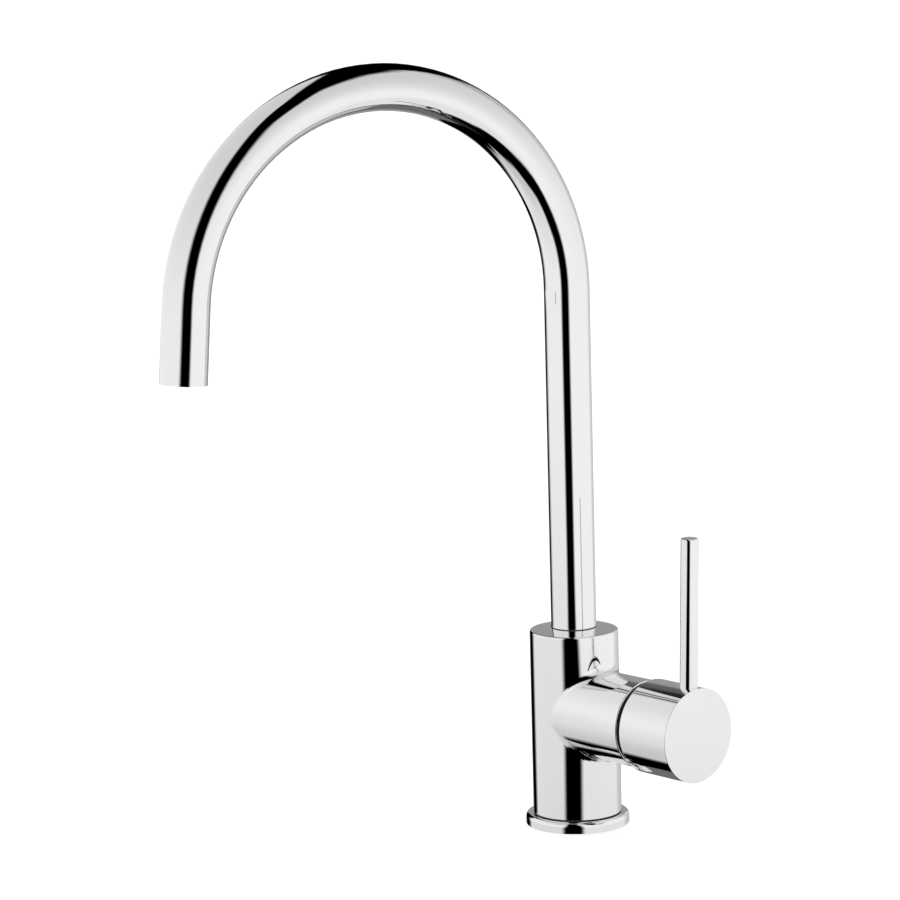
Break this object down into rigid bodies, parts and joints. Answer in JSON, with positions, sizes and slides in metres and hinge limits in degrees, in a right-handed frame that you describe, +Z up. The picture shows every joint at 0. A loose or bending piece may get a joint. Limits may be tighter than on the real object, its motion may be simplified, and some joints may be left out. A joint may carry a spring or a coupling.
{
  "type": "kitchen mixer tap",
  "caption": "Deck-mounted single-lever kitchen mixer tap: round body on a base ring, swivelling gooseneck tube spout, and a side arm whose handle cap tilts and turns with a pin lever.",
  "frame": {"origin": "centre of the base ring's underside, on the deck", "axes": "+Z up along the body axis, +X along the lever's arm, user on the -Y side"},
  "size_m": [0.1532, 0.2696, 0.4257],
  "materials": {
    "polished_chrome": "polished",
    "bare_brass": "satin",
    "steel": "satin",
    "black_rubber": "matte",
    "bearing_plastic": "satin",
    "aerator_plastic": "satin",
    "disc_ceramic": "polished",
    "plug_plastic": "gloss"
  },
  "bodies": {
    "tap_body": {"body": "polished_chrome", "base_ring": "polished_chrome", "base_seal": "black_rubber", "spout_thrust_washer": "bearing_plastic", "spout_retaining_screw": "steel", "cartridge_base": "bearing_plastic", "port_seals": "black_rubber", "fixed_disc": "disc_ceramic", "cartridge_housing": "bearing_plastic", "cartridge_nut": "bare_brass", "dress_dome": "polished_chrome"},
    "spout": {"spout_tube": "polished_chrome", "spout_adaptor": "bare_brass", "spout_o_rings": "black_rubber", "spout_glide_rings": "bearing_plastic", "outlet_socket": "bare_brass", "aerator_seal": "black_rubber", "aerator_housing": "aerator_plastic", "aerator_cascade": "aerator_plastic", "flow_regulator": "aerator_plastic", "aerator_screen": "steel"},
    "cartridge_turret": {"turret": "bearing_plastic", "pivot_pin": "steel"},
    "disc_slide": {"moving_disc": "disc_ceramic", "disc_carrier": "bearing_plastic"},
    "lever": {"stem": "steel", "handle_cap": "polished_chrome", "pin_lever": "polished_chrome", "cap_grub_screw": "steel", "index_plug": "plug_plastic"}
  },
  "joints": [
    {"name": "spout_swivel", "type": "hinge", "parent": "tap_body", "child": "spout", "pos_m": [0, 0, 0.109], "axis": [0, 0, 1], "continuous": true},
    {"name": "lever_turn", "type": "hinge", "parent": "tap_body", "child": "cartridge_turret", "pos_m": [0.04982, 0, 0.0643], "axis": [1, 0, 0], "range_deg": [-50, 50]},
    {"name": "lever_tilt", "type": "hinge", "parent": "cartridge_turret", "child": "lever", "pos_m": [0.04982, 0, 0.0643], "axis": [0, 1, 0], "range_deg": [0, 20]},
    {"name": "disc_travel", "type": "slide", "parent": "cartridge_turret", "child": "disc_slide", "axis": [0, 0, 1], "range_m": [0, 0.0048]}
  ],
  "couplings": [
    {"joint": "disc_travel", "follows": "lever_tilt", "m_per_rad": 0.013717}
  ]
}
